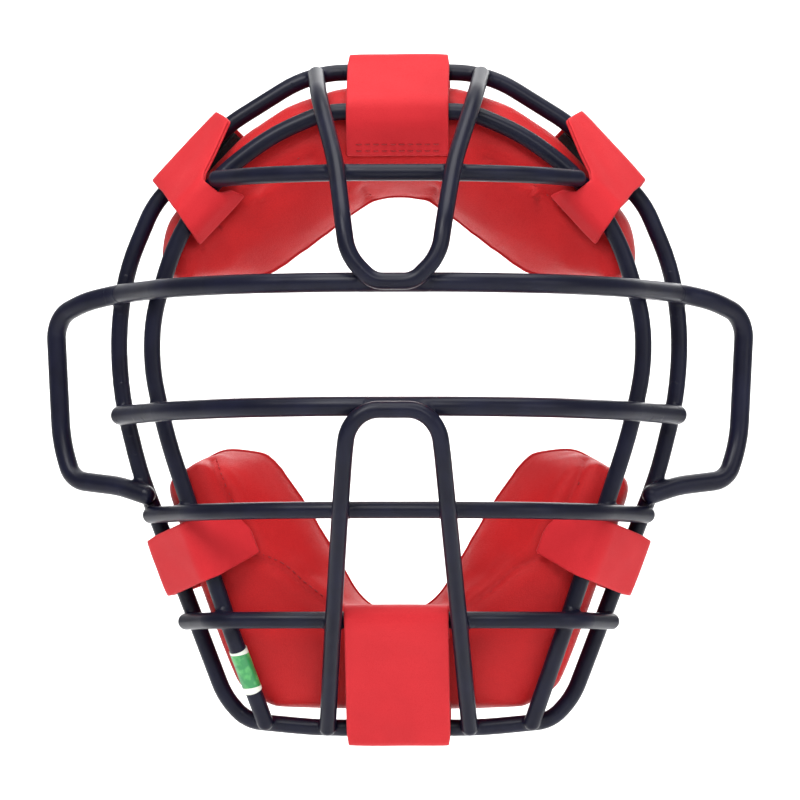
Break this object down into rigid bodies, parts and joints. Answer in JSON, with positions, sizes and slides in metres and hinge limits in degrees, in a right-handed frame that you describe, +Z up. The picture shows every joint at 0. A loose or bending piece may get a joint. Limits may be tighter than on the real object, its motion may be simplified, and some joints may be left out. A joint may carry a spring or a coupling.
{
  "type": "catchers mask",
  "caption": "Wire-cage baseball catcher's mask with a forehead pad, a jaw pad, ear loops and peel-open leather tabs that wrap the outer ring.",
  "frame": {"origin": "the middle of the eye gap's height on the mask's centre line, in the plane of the outer ring's wire", "axes": "+X to the wearer's left, +Z up, the front of the mask faces -Y"},
  "size_m": [0.2668, 0.1107, 0.2602],
  "materials": {
    "dipped_wire": "glossy navy vinyl dip on steel wire",
    "red_leather": "smooth red leather, lightly padded",
    "lining_leather": "soft red lining leather",
    "foam": "closed-cell foam",
    "hook_tape": "hook tape",
    "loop_tape": "loop tape",
    "label_band": "plain green band with pale edges"
  },
  "bodies": {
    "mask": {"outer_ring": "dipped_wire", "inner_ring": "dipped_wire", "brow_bar": "dipped_wire", "upper_eye_bar": "dipped_wire", "lower_eye_bar": "dipped_wire", "cheek_bar": "dipped_wire", "chin_bar": "dipped_wire", "upper_centre_bar": "dipped_wire", "lower_centre_bar": "dipped_wire", "forehead_pad_core": "foam", "forehead_pad_cover": "red_leather", "forehead_pad_lining": "lining_leather", "jaw_pad_core": "foam", "jaw_pad_cover": "red_leather", "jaw_pad_lining": "lining_leather", "top_tab_front": "red_leather", "top_loop_patch": "loop_tape", "bottom_tab_front": "red_leather", "bottom_loop_patch": "loop_tape", "upper_left_tab_front": "red_leather", "upper_left_loop_patch": "loop_tape", "upper_right_tab_front": "red_leather", "upper_right_loop_patch": "loop_tape", "lower_left_tab_front": "red_leather", "lower_left_loop_patch": "loop_tape", "lower_right_tab_front": "red_leather", "lower_right_loop_patch": "loop_tape", "label_band": "label_band"},
    "top_flap": {"top_tab_flap": "red_leather", "top_hook_patch": "hook_tape"},
    "bottom_flap": {"bottom_tab_flap": "red_leather", "bottom_hook_patch": "hook_tape"},
    "upper_left_flap": {"upper_left_tab_flap": "red_leather", "upper_left_hook_patch": "hook_tape"},
    "upper_right_flap": {"upper_right_tab_flap": "red_leather", "upper_right_hook_patch": "hook_tape"},
    "lower_left_flap": {"lower_left_tab_flap": "red_leather", "lower_left_hook_patch": "hook_tape"},
    "lower_right_flap": {"lower_right_tab_flap": "red_leather", "lower_right_hook_patch": "hook_tape"}
  },
  "joints": [
    {"name": "top_peel", "type": "hinge", "parent": "mask", "child": "top_flap", "pos_m": [0, 0, 0.1096], "axis": [1, 0, 0], "range_deg": [0, 150]},
    {"name": "bottom_peel", "type": "hinge", "parent": "mask", "child": "bottom_flap", "pos_m": [0, 0, -0.1506], "axis": [-1, 0, 0], "range_deg": [0, 150]},
    {"name": "upper_left_peel", "type": "hinge", "parent": "mask", "child": "upper_left_flap", "pos_m": [0.08103, 0, 0.07522], "axis": [0.6791, 0, -0.734], "range_deg": [0, 150]},
    {"name": "upper_right_peel", "type": "hinge", "parent": "mask", "child": "upper_right_flap", "pos_m": [-0.08103, 0, 0.07522], "axis": [0.6791, 0, 0.734], "range_deg": [0, 150]},
    {"name": "lower_left_peel", "type": "hinge", "parent": "mask", "child": "lower_left_flap", "pos_m": [0.0909, 0, -0.08415], "axis": [-0.3562, 0, -0.9344], "range_deg": [0, 150]},
    {"name": "lower_right_peel", "type": "hinge", "parent": "mask", "child": "lower_right_flap", "pos_m": [-0.0909, 0, -0.08415], "axis": [-0.3562, 0, 0.9344], "range_deg": [0, 150]}
  ]
}
